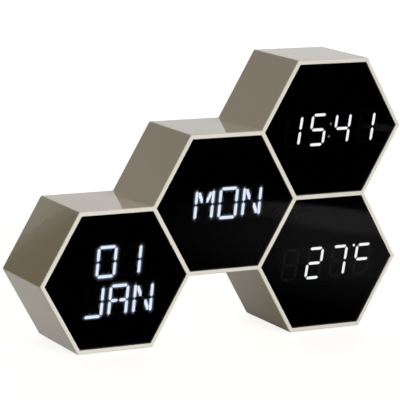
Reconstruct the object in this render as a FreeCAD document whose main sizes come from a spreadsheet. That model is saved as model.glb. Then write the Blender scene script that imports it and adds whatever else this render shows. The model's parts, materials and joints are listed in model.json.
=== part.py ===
import FreeCAD, Part
import math
import os
import Sketcher
from FreeCAD import Vector

# A digital alarm clock in four hexagonal cells, in millimetres.
# +Z is up and the lenses face -Y.
# The origin is under the clock, midway between its sides and between its front and back.
# Each piece is drawn about the day cell's centre, with y counted back from the front rim.

doc = FreeCAD.newDocument("HexagonClock")
sheet = doc.addObject("Spreadsheet::Sheet", "Sizes")

SIZES = {
    # casing
    "cell_side": 45.5,
    "wall": 2.4,
    "case_depth": 53.2,
    "edge_round": 0.8,
    "corner_round": 1.0,
    "ledge_width": 3.0,
    "ledge_thick": 1.8,
    "lens_setback": 0.4,
    "lens_thick": 2.0,
    "lens_clearance": 0.12,
    "lens_bevel": 0.25,
    "tape_thick": 0.15,
    # rubber feet
    "foot_radius": 4.0,
    "foot_stand": 0.8,
    "foot_sink": 0.8,
    "foot_spread": 15.0,
    "foot_inset": 7.6,
    # displays
    "display_setback": 3.0,
    "display_depth": 8.0,
    "display_border": 1.0,
    "window_depth": 3.0,
    "numeral_width": 9.0,
    "numeral_height": 17.3,
    "numeral_pitch": 16.3,
    "numeral_stroke": 1.65,
    "numeral_gap": 0.55,
    "numeral_slant": 8.0,
    "letter_width": 10.6,
    "letter_height": 16.7,
    "letter_pitch": 15.4,
    "letter_stroke": 1.6,
    "letter_gap": 0.45,
    "letter_slant": 5.0,
    "dot_radius": 0.75,
    "date_shift": 2.7,
    "date_upper_row": 10.6,
    "date_lower_row": -12.0,
    "day_shift": 3.0,
    "day_row": -0.5,
    "time_shift": 0.9,
    "time_row": -0.7,
    "temperature_shift": 1.4,
    "temperature_row": -1.0,
    "colon_rise": 3.0,
    "colon_drop": 4.3,
    "degree_gap": 4.75,
    "mask_clearance": 0.4,
    "chip_size": 1.0,
    "chip_height": 0.5,
    # boards and what is on them
    "board_thick": 1.6,
    "board_clearance": 0.5,
    "post_radius": 2.6,
    "post_inset": 2.6,
    "pilot_radius": 0.8,
    "pilot_depth": 5.0,
    "screw_shank": 0.75,
    "screw_length": 6.0,
    "screw_head": 1.9,
    "screw_head_height": 1.4,
    "screw_clearance": 0.3,
    "controller_size": 10.0,
    "controller_height": 1.6,
    "crystal_length": 11.0,
    "crystal_width": 4.6,
    "crystal_height": 3.5,
    "capacitor_radius": 3.1,
    "capacitor_height": 8.0,
    "plug_width": 11.0,
    "plug_depth": 4.4,
    "plug_height": 5.0,
    "plug_reach": 26.0,
    "ribbon_width": 9.0,
    "ribbon_thick": 0.8,
    "ribbon_rise": 7.0,
    "ribbon_bend": 4.0,
    "gate_width": 13.0,
    # back cover and its screws
    "cover_setback": 2.0,
    "cover_thick": 3.0,
    "cover_clearance": 0.15,
    "boss_radius": 3.0,
    "boss_sink": 0.3,
    "boss_pilot_radius": 1.05,
    "boss_pilot_depth": 9.0,
    "cover_screw_shank": 1.0,
    "cover_screw_length": 8.0,
    "cover_screw_head": 2.1,
    "cover_screw_head_height": 1.3,
    "counterbore_radius": 2.5,
    "counterbore_depth": 1.6,
    "recess_slot": 0.6,
    "recess_length": 2.7,
    "recess_depth": 0.7,
    "cover_bevel": 0.4,
    # battery tray and door
    "battery_radius": 5.25,
    "battery_length": 43.7,
    "battery_tip_radius": 1.9,
    "battery_tip": 0.8,
    "battery_gap": 0.7,
    "battery_room": 0.1,
    "contact_room": 3.75,
    "contact_thick": 0.4,
    "contact_width": 7.5,
    "contact_foot": 0.9,
    "contact_bend": 0.5,
    "contact_play": 0.05,
    "tray_wall": 2.0,
    "tray_floor": 1.5,
    "door_seat": 1.2,
    "door_thick": 2.2,
    "door_clearance": 0.25,
    "hinge_gap": 0.5,
    "hinge_pin_radius": 0.7,
    "hinge_pin_length": 1.2,
    "hinge_clearance": 0.05,
    "foam_thick": 0.5,
    "foam_inset": 8.0,
    "finger_radius": 6.0,
    "finger_depth": 1.0,
    "door_bevel": 0.3,
    "grip_inset": 2.5,
    "grip_length": 18.0,
    "grip_width": 1.0,
    "grip_pitch": 2.4,
    "grip_depth": 0.5,
    "door_grips": 3,
    # buttons and the alarm switch
    "button_pitch": 12.0,
    "button_radius": 3.5,
    "button_clearance": 0.1,
    "button_proud": 1.0,
    "button_flange": 4.6,
    "button_flange_thick": 1.0,
    "button_stem_radius": 1.6,
    "button_travel": 0.7,
    "button_round": 0.5,
    "button_play": 0.05,
    "mark_length": 3.4,
    "mark_width": 0.7,
    "mark_depth": 0.3,
    "panel_depth": 0.5,
    "panel_margin": 4.0,
    "key_switch_size": 6.0,
    "key_switch_height": 3.5,
    "key_switch_grip": 0.4,
    "button_board_drop": 7.2,
    "button_board_margin": 6.0,
    "button_post_gap": 1.2,
    "switch_drop": 14.0,
    "switch_length": 9.0,
    "switch_width": 4.4,
    "switch_height": 3.6,
    "switch_travel": 4.0,
    "knob_length": 4.0,
    "knob_width": 3.0,
    "knob_proud": 0.8,
    "knob_stem": 1.6,
    "knob_clearance": 0.15,
    "knob_flange_thick": 0.9,
    "knob_flange_lip": 1.2,
    "knob_rib_pitch": 1.2,
    "switch_well": 1.2,
    # supply socket, sounder and sensor
    "socket_width": 7.6,
    "socket_height": 2.8,
    "socket_depth": 6.0,
    "socket_wall": 0.3,
    "socket_drop": 18.0,
    "socket_clearance": 0.4,
    "tongue_width": 5.0,
    "tongue_height": 0.7,
    "tongue_length": 4.4,
    "power_board_width": 16.0,
    "power_board_length": 13.0,
    "power_board_thick": 1.2,
    "rail_grip": 1.2,
    "buzzer_radius": 8.5,
    "buzzer_height": 3.8,
    "holder_wall": 1.2,
    "holder_clearance": 0.12,
    "sensor_radius": 2.2,
    "sensor_length": 5.0,
    "sensor_rise": 10.0,
    "slot_length": 13.0,
    "slot_width": 1.4,
    "slot_pitch": 3.2,
    "sound_slots": 5,
    "vent_slots": 3,
    "lead_radius": 0.65,
    "lead_spacing": 2.6,
    "lead_bend": 4.5,
}

for row, (name, number) in enumerate(SIZES.items(), 1):
    sheet.set(f"A{row}", name)
    sheet.set(f"B{row}", str(number))
    sheet.setAlias(f"B{row}", name)
doc.recompute()

# How far two lengths or volumes may differ and still count as one
TOLERANCE = 0.01


def value(text):
    """The number that an expression over the sheet stands for."""
    return float(sheet.evalExpression(str(text)))


# Levels, counted back from the front rim
INRADIUS = "(Sizes.cell_side * sqrt(3) / 2)"
INNER = f"({INRADIUS} - Sizes.wall / 2)"
WINDOW = f"({INNER} - Sizes.ledge_width)"
LENS_BACK = "(Sizes.lens_setback + Sizes.lens_thick)"
LEDGE_FRONT = f"({LENS_BACK} + Sizes.tape_thick)"
LEDGE_BACK = f"({LEDGE_FRONT} + Sizes.ledge_thick)"
DISPLAY_FRONT = "Sizes.display_setback"
BOARD_FRONT = "(Sizes.display_setback + Sizes.display_depth)"
BOARD_BACK = f"({BOARD_FRONT} + Sizes.board_thick)"
PLUG_BACK = f"({BOARD_BACK} + Sizes.plug_height)"
RIBBON_BACK = f"({PLUG_BACK} + Sizes.ribbon_rise)"
COVER_BACK = "(Sizes.case_depth - Sizes.cover_setback)"
COVER_FRONT = f"({COVER_BACK} - Sizes.cover_thick)"
COUNTERBORE = f"({COVER_BACK} - Sizes.counterbore_depth)"
DOOR_FRONT = f"({COVER_BACK} - Sizes.door_thick)"
FOAM_FRONT = f"({DOOR_FRONT} - Sizes.foam_thick)"
BATTERY_AXIS = f"({FOAM_FRONT} - Sizes.battery_room - Sizes.battery_radius)"
TRAY_FLOOR = f"({BATTERY_AXIS} - Sizes.battery_radius - Sizes.battery_room / 2)"
TRAY_FRONT = f"({TRAY_FLOOR} - Sizes.tray_floor)"
BUTTON_BOARD_BACK = f"({COVER_FRONT} - Sizes.button_board_drop)"
BUTTON_BOARD_FRONT = f"({BUTTON_BOARD_BACK} - Sizes.board_thick)"
KEY_SWITCH_BACK = f"({BUTTON_BOARD_BACK} + Sizes.key_switch_height)"
SLIDE_SWITCH_BACK = f"({BUTTON_BOARD_BACK} + Sizes.switch_height)"
KEY_SWITCH_WELL = "(Sizes.key_switch_grip + Sizes.button_travel + Sizes.button_clearance)"

# The honeycomb grid: x counts half sides, z counts inradii, both from the day cell's centre
CELLS = {"date": (-3, -1), "day": (0, 0), "time": (3, 1), "temperature": (3, -1)}
OUTLINE = [
    ((-4, -2), (-3, -1)), ((-2, -2), (-3, -1)), ((-1, -1), (-2, 0)), ((1, -1), (2, 0)),
    ((2, -2), (3, -1)), ((4, -2), (3, -1)), ((5, -1), (3, -1)), ((4, 0), (2, 0)),
    ((5, 1), (3, 1)), ((4, 2), (3, 1)), ((2, 2), (3, 1)), ((1, 1), (2, 0)),
    ((-1, 1), (0, 0)), ((-2, 0), (-1, -1)), ((-4, 0), (-3, -1)), ((-5, -1), (-3, -1)),
]
POST_ANGLES = (90, 210, 330)
BOSS_ANGLES = {"date": (180, 240), "day": (120, 300), "time": (60, 180), "temperature": (0, 240)}

DATUM = {
    "x": "0",
    "y": "-Sizes.case_depth / 2",
    "z": f"Sizes.foot_stand + Sizes.wall / 2 + 2 * {INRADIUS}",
}


def bearing(cell):
    """The direction from the day cell to a cell beside it, in degrees."""
    across, up = CELLS[cell]
    return math.degrees(math.atan2(up * math.sqrt(3) / 2, across / 2))


SIDE_CELLS = ("date", "time", "temperature")


def centre(cell):
    """A cell's centre on the grid."""
    across, up = CELLS[cell]
    return f"({across} * Sizes.cell_side / 2)", f"({up} * {INRADIUS})"


def polar(cell, radius, angle):
    """A point at a distance and an angle from a cell's centre."""
    x, z = centre(cell)
    turn = math.radians(angle)
    return f"({x} + ({radius}) * {math.cos(turn):.9f})", f"({z} + ({radius}) * {math.sin(turn):.9f})"


# Outlines to extrude: a disc, or a closed polygon of corners
def disc(x, z, radius):
    return "disc", x, z, radius


def polygon(*corners):
    return "polygon", corners


def rectangle(x, z, width, height):
    """A rectangle about its middle."""
    left, right = f"({x}) - ({width}) / 2", f"({x}) + ({width}) / 2"
    low, high = f"({z}) - ({height}) / 2", f"({z}) + ({height}) / 2"
    return polygon((left, low), (right, low), (right, high), (left, high))


def turned_rectangle(cell, reach, angle, along, across):
    """A rectangle whose middle is at a distance from a cell's centre, turned to face it."""
    turn = math.radians(angle)
    cos, sin = f"{math.cos(turn):.9f}", f"{math.sin(turn):.9f}"
    x, z = polar(cell, reach, angle)
    corners = []
    for far, side in ((-0.5, -0.5), (0.5, -0.5), (0.5, 0.5), (-0.5, 0.5)):
        out, over = f"({far} * ({along}))", f"({side} * ({across}))"
        corners.append((f"{x} + {out} * {cos} - {over} * {sin}", f"{z} + {out} * {sin} + {over} * {cos}"))
    return polygon(*corners)


def hexagon(cell, inradius):
    x, z = centre(cell)
    corners = []
    for across, up in ((2, 0), (1, 1), (-1, 1), (-2, 0), (-1, -1), (1, -1)):
        corners.append((f"{x} + {across} * ({inradius}) / sqrt(3)", f"{z} + {up} * ({inradius})"))
    return polygon(*corners)


def outline(inset):
    """The outline of the four cells together, drawn in from the grid lines by an inset."""
    corners = []
    for (across, up), (to_across, to_up) in OUTLINE:
        x = f"{across} * Sizes.cell_side / 2 + {to_across - across} * ({inset}) / sqrt(3)"
        z = f"{up} * {INRADIUS} + {to_up - up} * ({inset})"
        corners.append((x, z))
    return polygon(*corners)


PLANES = {"X": "YZ_Plane", "Y": "XZ_Plane", "Z": "XY_Plane"}


def disc_lines(shape, first):
    """A circle, with its radius and both coordinates of its middle as dimensions."""
    x, z, radius = shape[1:]
    circle = Part.Circle(Vector(value(x), value(z), 0), Vector(0, 0, 1), value(radius))
    rules = [
        ("Radius", (first,), radius),
        ("DistanceX", (-1, 1, first, 3), x),
        ("DistanceY", (-1, 1, first, 3), z),
    ]
    return [circle], rules


def polygon_lines(shape, first):
    """The sides of a closed polygon, with both coordinates of every corner as dimensions."""
    points = [Vector(value(x), value(z), 0) for x, z in shape[1]]
    lines, rules = [], []
    for index, (x, z) in enumerate(shape[1]):
        after = (index + 1) % len(points)
        lines.append(Part.LineSegment(points[index], points[after]))
        rules.append(("Coincident", (first + index, 2, first + after, 1), None))
        rules.append(("DistanceX", (-1, 1, first + index, 1), x))
        rules.append(("DistanceY", (-1, 1, first + index, 1), z))
    return lines, rules


def draw(sketch, shapes):
    """Draws outlines in a sketch and binds every dimension to the sheet."""
    lines, rules = [], []
    for shape in shapes:
        make = disc_lines if shape[0] == "disc" else polygon_lines
        more_lines, more_rules = make(shape, len(lines))
        lines += more_lines
        rules += more_rules
    sketch.addGeometry(lines)
    constraints = []
    for kind, where, text in rules:
        size = () if text is None else (value(text),)
        constraints.append(Sketcher.Constraint(kind, *where, *size))
    sketch.addConstraint(constraints)
    for number, (kind, where, text) in enumerate(rules):
        if text is not None:
            sketch.setExpression(f"Constraints[{number}]", str(text))


def extrude(body, kind, low, high, shapes, axis="Y"):
    """Adds or cuts outlines between two levels along an axis."""
    plane = next(item for item in body.Origin.OriginFeatures if item.Role == PLANES[axis])
    sketch = body.newObject("Sketcher::SketchObject", "sketch")
    sketch.AttachmentSupport = [(plane, "")]
    sketch.MapMode = "FlatFace"
    sign = "-" if axis == "Y" else ""
    sketch.setExpression("AttachmentOffset.Base.z", f"{sign}({low})")
    draw(sketch, shapes)
    result = body.newObject(f"PartDesign::{kind}", kind.lower())
    result.Profile = sketch
    result.Reversed = (kind == "Pad") == (axis == "Y")
    result.setExpression("Length", f"({high}) - ({low})")


subparts = {}


def place(item, x="0", y="0", z="0"):
    """Puts a piece at a point counted from the datum."""
    item.setExpression("Placement.Base.x", f"{DATUM['x']} + ({x})")
    item.setExpression("Placement.Base.y", f"{DATUM['y']} + ({y})")
    item.setExpression("Placement.Base.z", f"{DATUM['z']} + ({z})")


def keep(label, item):
    """Names a finished piece."""
    item.Label = label
    subparts[label] = item
    return item


def moulding(label, *steps, x="0", y="0", z="0"):
    """A piece made of pads and pockets, each given as kind, low level, high level, outlines and axis."""
    body = doc.addObject("PartDesign::Body", label)
    place(body, x, y, z)
    for step in steps:
        extrude(body, *step)
    return keep(label, body)


def level_at(*levels):
    """A test that an edge lies wholly at one of some levels."""
    def test(edge):
        box = edge.BoundBox
        return any(max(abs(box.YMin - level), abs(box.YMax - level)) < TOLERANCE for level in levels)
    return test


def soften(body, kind, size, test):
    """Rounds or bevels the edges that pass a test, on the body as it stands."""
    doc.recompute()
    base = body.Tip
    names = [f"Edge{number}" for number, edge in enumerate(base.Shape.Edges, 1) if test(edge)]
    result = body.newObject(f"PartDesign::{kind}", kind.lower())
    result.Base = (base, names)
    result.setExpression("Radius" if kind == "Fillet" else "Size", size)


def feature(label, shape):
    """A piece whose shape is made from numbers read off the sheet."""
    item = doc.addObject("Part::Feature", label)
    item.Shape = shape
    place(item)
    return keep(label, item)


# Housing
def make_housing():
    body = doc.addObject("PartDesign::Body", "housing")
    place(body)
    depth = "Sizes.case_depth"
    extrude(body, "Pad", "0", depth, [outline("-Sizes.wall / 2")])
    soften(body, "Fillet", "Sizes.corner_round", lambda edge: edge.BoundBox.YLength > TOLERANCE)
    soften(body, "Fillet", "Sizes.edge_round", level_at(0, value(depth)))
    extrude(body, "Pocket", "0", LEDGE_FRONT, [hexagon(cell, INNER) for cell in CELLS])
    extrude(body, "Pocket", LEDGE_FRONT, LEDGE_BACK, [hexagon(cell, WINDOW) for cell in CELLS])
    extrude(body, "Pocket", LEDGE_BACK, depth, [hexagon(cell, INNER) for cell in CELLS])
    extrude(body, "Pocket", COVER_FRONT, depth, [outline("Sizes.wall / 2")])
    gates = []
    for cell in SIDE_CELLS:
        gates.append(turned_rectangle("day", INRADIUS, bearing(cell), "Sizes.wall * 2", "Sizes.gate_width"))
    extrude(body, "Pocket", PLUG_BACK, COVER_FRONT, gates)
    posts = [point for cell in CELLS for point in post_points(cell)]
    bosses = [point for cell in CELLS for point in boss_points(cell)]
    extrude(body, "Pad", LEDGE_FRONT, BOARD_FRONT, [disc(*point, "Sizes.post_radius") for point in posts])
    extrude(body, "Pad", LEDGE_FRONT, COVER_FRONT, [disc(*point, "Sizes.boss_radius") for point in bosses])
    extrude(body, "Pocket", f"{BOARD_FRONT} - Sizes.pilot_depth", BOARD_FRONT,
            [disc(*point, "Sizes.pilot_radius") for point in posts])
    extrude(body, "Pocket", f"{COVER_FRONT} - Sizes.boss_pilot_depth", COVER_FRONT,
            [disc(*point, "Sizes.boss_pilot_radius") for point in bosses])
    extrude(body, "Pocket", UNDERSIDE, f"{UNDERSIDE} + Sizes.foot_sink",
            [disc(*point, "Sizes.foot_radius") for point in foot_points()], "Z")
    keep("housing", body)


def post_points(cell):
    return [polar(cell, f"{INNER} - Sizes.post_inset", angle) for angle in POST_ANGLES]


def boss_points(cell):
    reach = f"({INNER} - Sizes.boss_radius + Sizes.boss_sink) * 2 / sqrt(3)"
    return [polar(cell, reach, angle) for angle in BOSS_ANGLES[cell]]


UNDERSIDE = f"(-2 * {INRADIUS} - Sizes.wall / 2)"


def foot_points():
    points = []
    for cell in ("date", "temperature"):
        x = centre(cell)[0]
        for side in ("-", "+"):
            for y in ("Sizes.foot_inset", "Sizes.case_depth - Sizes.foot_inset"):
                points.append((f"{x} {side} Sizes.foot_spread", y))
    return points


def make_feet():
    feet = [disc(*point, "Sizes.foot_radius") for point in foot_points()]
    low, high = f"{UNDERSIDE} - Sizes.foot_stand", f"{UNDERSIDE} + Sizes.foot_sink"
    moulding("rubber_feet", ("Pad", low, high, feet, "Z"))


# Lenses
LENS_INRADIUS = f"({INNER} - Sizes.lens_clearance)"


def make_lenses():
    for cell in CELLS:
        pane = hexagon(cell, LENS_INRADIUS)
        body = moulding(f"{cell}_lens", ("Pad", "Sizes.lens_setback", LENS_BACK, [pane]))
        soften(body, "Chamfer", "Sizes.lens_bevel", level_at(value("Sizes.lens_setback")))


# Display segments: each bar is named by the usual letter, and a character is the string of its lit bars.
# A diagonal bar is cut level at its ends: its width there and the drop beside it are shares of the stroke.
DIAGONAL_WIDTH = 0.6
DIAGONAL_DROP = 1.3
NUMERAL_BARS = "abcdefg"
LETTER_BARS = "abcdefuvhjknml"
LIT = {
    "1": "bc", "5": "afgcd", "4": "fgbc", "2": "abged", "7": "abc", "c": "afg", "8": "", " ": "",
    "M": "efbchk", "O": "abcdef", "N": "efbchl", "J": "bcd", "A": "abcefuv", "0": "abcdef", "one": "bc",
}


def straight_bar(start, end, stroke):
    """A bar between two points, pointed at both ends."""
    along = (end - start).normalize()
    over = Vector(-along.y, along.x, 0) * (stroke / 2)
    inward = along * (stroke / 2)
    return [
        start, start + inward + over, end - inward + over,
        end, end - inward - over, start + inward - over,
    ]


def slanted_bar(start, end, stroke):
    """A diagonal bar with level ends, kept inside the corners it runs between."""
    reach = math.copysign(DIAGONAL_WIDTH * stroke, end.x - start.x)
    drop = DIAGONAL_DROP * stroke
    return [
        start, start + Vector(reach, 0, 0), Vector(end.x, end.y + drop, 0),
        end, end - Vector(reach, 0, 0), Vector(start.x, start.y - drop, 0),
    ]


def character_bars(bars, width, height, stroke, gap, slant):
    """The outline of every bar of one character, about its middle."""
    side, top = width / 2, height / 2
    under = top - stroke / 2
    corner = {
        "left": -side, "mid": 0.0, "right": side,
        "high": top, "under": under, "centre": 0.0, "over": -under, "low": -top,
    }
    runs = {
        "a": ("left", "high", "right", "high"), "b": ("right", "centre", "right", "high"),
        "c": ("right", "low", "right", "centre"), "d": ("left", "low", "right", "low"),
        "e": ("left", "low", "left", "centre"), "f": ("left", "centre", "left", "high"),
        "g": ("left", "centre", "right", "centre"), "u": ("left", "centre", "mid", "centre"),
        "v": ("mid", "centre", "right", "centre"), "j": ("mid", "centre", "mid", "under"),
        "m": ("mid", "over", "mid", "centre"),
    }
    inner, clear = side - stroke / 2 - gap, stroke / 2 + gap
    diagonals = {
        "h": (Vector(-inner, top - clear, 0), Vector(-clear, clear, 0)),
        "k": (Vector(inner, top - clear, 0), Vector(clear, clear, 0)),
        "n": (Vector(-clear, -clear, 0), Vector(-inner, clear - top, 0)),
        "l": (Vector(clear, -clear, 0), Vector(inner, clear - top, 0)),
    }
    lean = math.tan(math.radians(slant))
    outlines = {}
    for letter in bars:
        if letter in runs:
            x0, z0, x1, z1 = (corner[word] for word in runs[letter])
            start, end = Vector(x0, z0, 0), Vector(x1, z1, 0)
            trim = (end - start).normalize() * gap
            points = straight_bar(start + trim, end - trim, stroke)
        else:
            points = slanted_bar(*diagonals[letter], stroke)
        outlines[letter] = [Vector(point.x + lean * point.y, point.y, 0) for point in points]
    return outlines


def face(points, x, z):
    """A flat face in the display's front plane."""
    corners = [Vector(x + point.x, 0, z + point.y) for point in points]
    return Part.Face(Part.makePolygon(corners + corners[:1]))


def round_face(x, z):
    circle = Part.Circle(Vector(x, 0, z), Vector(0, 1, 0), value("Sizes.dot_radius"))
    return Part.Face(Part.Wire(circle.toShape()))


STYLES = {"numeral": NUMERAL_BARS, "letter": LETTER_BARS}
BAR_SIZES = ("width", "height", "stroke", "gap", "slant")


def row_faces(style, glyphs, x, z):
    """Faces of a row of characters about a point, split into lit and dark ones."""
    sizes = {key: value(f"Sizes.{style}_{key}") for key in BAR_SIZES}
    pitch = value(f"Sizes.{style}_pitch")
    bars = character_bars(STYLES[style], **sizes)
    lit, dark = [], []
    for number, glyph in enumerate(glyphs):
        offset = (number - (len(glyphs) - 1) / 2) * pitch
        for letter, points in bars.items():
            target = lit if letter in LIT[glyph] else dark
            target.append(face(points, x + offset, z))
    return lit, dark


def flat(label, faces):
    """The faces of one group of bars, as one object at a cell's centre."""
    item = doc.addObject("Part::Feature", label)
    item.Shape = Part.makeCompound(faces)
    return item


def pushed(label, faces, depth):
    """Faces pushed back from the display's front."""
    item = doc.addObject("Part::Extrusion", label)
    item.Base = faces
    item.DirMode = "Custom"
    item.Dir = Vector(0, 1, 0)
    item.Solid = True
    item.setExpression("LengthFwd", depth)
    return item


# Rows of each display: style, characters, and the sizes that place the row's middle from the cell's centre
DISPLAYS = {
    "date": [
        ("letter", ("0", "one"), "date_shift", "date_upper_row"),
        ("letter", ("J", "A", "N"), "date_shift", "date_lower_row"),
    ],
    "day": [("letter", ("M", "O", "N"), "day_shift", "day_row")],
    "time": [("numeral", ("1", "5", "4", "1"), "time_shift", "time_row")],
    "temperature": [("numeral", ("8", "2", "7", "c"), "temperature_shift", "temperature_row")],
}


def display_dots(cell):
    """The colon between the hours and minutes, or the degree mark before the unit."""
    if cell not in ("time", "temperature"):
        return []
    x, z = value(f"Sizes.{cell}_shift"), value(f"Sizes.{cell}_row")
    lean = math.tan(math.radians(value("Sizes.numeral_slant")))
    if cell == "time":
        heights = (value("Sizes.colon_rise"), -value("Sizes.colon_drop"))
        return [round_face(x + lean * height, z + height) for height in heights]
    height = value("Sizes.numeral_height / 2")
    beside = value("(Sizes.numeral_pitch + Sizes.numeral_width) / 2 + Sizes.degree_gap")
    return [round_face(x + beside + lean * height, z + height)]


def display_faces(cell):
    """The faces of a cell's lit bars, dark bars and colon."""
    lit, dark = [], []
    for style, glyphs, x, z in DISPLAYS[cell]:
        row_lit, row_dark = row_faces(style, glyphs, value(f"Sizes.{x}"), value(f"Sizes.{z}"))
        lit += row_lit
        dark += row_dark
    dots = display_dots(cell)
    if cell == "temperature":
        return lit + dots, dark, []
    return lit, dark, dots


def make_display_block(cell, faces, box):
    """The block round the bars, with a well behind each of them."""
    x, z = centre(cell)
    wells = pushed(f"{cell}_wells", flat(f"{cell}_well_faces", faces), "Sizes.display_depth")
    block = doc.addObject("Part::Box", f"{cell}_block_body")
    block.setExpression("Length", f"{box.XLength} + 2 * Sizes.display_border")
    block.setExpression("Height", f"{box.ZLength} + 2 * Sizes.display_border")
    block.setExpression("Width", "Sizes.display_depth")
    block.setExpression("Placement.Base.x", f"{box.XMin} - Sizes.display_border")
    block.setExpression("Placement.Base.z", f"{box.ZMin} - Sizes.display_border")
    cut = doc.addObject("Part::Cut", f"{cell}_display_block")
    cut.Base = block
    cut.Tool = wells
    place(cut, x, DISPLAY_FRONT, z)
    keep(f"{cell}_display_block", cut)


def mask_outlines(cell, box):
    """The film behind a lens and the window in it for the display block."""
    x, z = centre(cell)
    border = "2 * (Sizes.display_border + Sizes.mask_clearance)"
    width, height = f"{box.XLength} + {border}", f"{box.ZLength} + {border}"
    window = rectangle(f"{x} + {box.Center.x}", f"{z} + {box.Center.z}", width, height)
    return [hexagon(cell, LENS_INRADIUS), window]


def chip_behind(cell, bar):
    """The light emitter on the board behind one bar."""
    x, z = centre(cell)
    size, height = value("Sizes.chip_size"), value("Sizes.chip_height")
    corner = Vector(value(x) - size / 2, value(BOARD_FRONT) - height, value(z) - size / 2)
    return Part.makeBox(size, height, size, bar.CenterOfMass + corner)


def make_displays():
    chips, masks = [], []
    for cell in DISPLAYS:
        x, z = centre(cell)
        lit, dark, dots = display_faces(cell)
        groups = {f"{cell}_lit_segments": lit, f"{cell}_dark_segments": dark, f"{cell}_colon": dots}
        for label, faces in groups.items():
            if faces:
                windows = pushed(label, flat(f"{label}_faces", faces), "Sizes.window_depth")
                place(windows, x, DISPLAY_FRONT, z)
                keep(label, windows)
        everything = lit + dark + dots
        box = Part.makeCompound(everything).BoundBox
        make_display_block(cell, everything, box)
        masks += mask_outlines(cell, box)
        chips += [chip_behind(cell, bar) for bar in everything]
    feature("led_chips", Part.makeCompound(chips))
    moulding("lens_masks", ("Pad", LENS_BACK, LEDGE_FRONT, masks))


# Circuit boards, their screws and the parts on them
def make_boards():
    edge = f"{INNER} - Sizes.board_clearance"
    screws = []
    for cell in CELLS:
        posts = post_points(cell)
        screws += posts
        holes = [disc(*point, "Sizes.screw_shank + Sizes.screw_clearance") for point in posts]
        notches = [disc(*point, "Sizes.boss_radius + Sizes.screw_clearance") for point in boss_points(cell)]
        moulding(f"{cell}_board", ("Pad", BOARD_FRONT, BOARD_BACK, [hexagon(cell, edge)]),
                 ("Pocket", BOARD_FRONT, BOARD_BACK, holes), ("Pocket", BOARD_FRONT, BOARD_BACK, notches))
    return screws


def connector_places():
    """Each ribbon plug, as its cell and its angle there."""
    places = []
    for cell in SIDE_CELLS:
        places.append(("day", bearing(cell)))
        places.append((cell, bearing(cell) + 180))
    return places


def make_components():
    plugs = []
    reach = "Sizes.plug_reach"
    for cell, angle in connector_places():
        plugs.append(turned_rectangle(cell, reach, angle, "Sizes.plug_depth", "Sizes.plug_width"))
    plugs.append(rectangle("0", reach, "Sizes.plug_width", "Sizes.plug_depth"))
    moulding("board_connectors", ("Pad", BOARD_BACK, PLUG_BACK, plugs))
    chip = "Sizes.controller_size"
    moulding("controller_chip", ("Pad", BOARD_BACK, f"{BOARD_BACK} + Sizes.controller_height",
                                 [rectangle("0", "0", chip, chip)]))
    moulding("crystal_can", ("Pad", BOARD_BACK, f"{BOARD_BACK} + Sizes.crystal_height",
                             [rectangle("0", f"-{chip} - Sizes.crystal_width / 2",
                                        "Sizes.crystal_length", "Sizes.crystal_width")]))
    cans = []
    for side in ("-", ""):
        cans.append(disc(f"{side}({chip} + Sizes.capacitor_radius)", f"{chip}", "Sizes.capacitor_radius"))
    moulding("capacitors", ("Pad", BOARD_BACK, f"{BOARD_BACK} + Sizes.capacitor_height", cans))


# The most of a run that the arc at one of its ends may take
ARC_SHARE = 0.45


def rounded_path(points, bend):
    """Straight runs joined by tangent arcs of one radius, or less where the runs are short."""
    edges = []
    start = points[0]
    for before, corner, after in zip(points, points[1:], points[2:]):
        back, ahead = before - corner, after - corner
        turn = math.pi - back.getAngle(ahead)
        shorter = min(back.Length, ahead.Length)
        radius = min(bend, ARC_SHARE * shorter / math.tan(turn / 2))
        trim = radius * math.tan(turn / 2)
        enter = corner + back.normalize() * trim
        leave = corner + ahead.normalize() * trim
        bisector = (back + ahead).normalize()
        middle = corner + bisector * (radius / math.cos(turn / 2) - radius)
        edges.append(Part.LineSegment(start, enter).toShape())
        edges.append(Part.Arc(enter, middle, leave).toShape())
        start = leave
    edges.append(Part.LineSegment(start, points[-1]).toShape())
    return Part.Wire(edges)


def swept(points, bend, profile):
    """A profile carried along a rounded path, as one solid."""
    return rounded_path(points, bend).makePipeShell([profile], True, True)


def ribbon_shape(start, end, low, back, over):
    """A flat cable that rises from one plug, crosses, and comes down on the other."""
    width, thick = value("Sizes.ribbon_width"), value("Sizes.ribbon_thick")
    along = (end - start).normalize()
    rise = Vector(0, back - low, 0)
    points = [start, start + rise, end + rise, end]
    near = start - over * (width / 2) - along * (thick / 2)
    far = near + over * width
    loop = [near, far, far + along * thick, near + along * thick, near]
    return swept(points, value("Sizes.ribbon_bend"), Part.makePolygon(loop))


def make_ribbons():
    low, back = value(PLUG_BACK), value(RIBBON_BACK)
    for cell in SIDE_CELLS:
        turn = math.radians(bearing(cell))
        out, over = Vector(math.cos(turn), 0, math.sin(turn)), Vector(-math.sin(turn), 0, math.cos(turn))
        start = out * value("Sizes.plug_reach") + Vector(0, low, 0)
        end = out * value(f"2 * {INRADIUS} - Sizes.plug_reach") + Vector(0, low, 0)
        feature(f"{cell}_ribbon", ribbon_shape(start, end, low, back, over))


# Buttons, in the order they stand from left to right seen from the front
BUTTONS = ("set", "up", "down", "alarm", "light")


def button_x(number):
    return f"{number - (len(BUTTONS) - 1) / 2} * Sizes.button_pitch"


SWITCH_Z = "(-Sizes.switch_drop)"
KNOB_X = "-Sizes.switch_travel / 2"
POST_RISE = "(Sizes.button_flange + Sizes.post_radius + Sizes.button_post_gap)"
POST_EDGE = "(2 * Sizes.post_radius)"
BUTTON_BOARD_WIDTH = f"({len(BUTTONS) - 1} * Sizes.button_pitch + 2 * Sizes.button_board_margin)"
BUTTON_BOARD_HEIGHT = f"({POST_RISE} + Sizes.switch_drop + 2 * {POST_EDGE})"
BUTTON_BOARD_Z = f"(({POST_RISE} - Sizes.switch_drop) / 2)"


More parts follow.
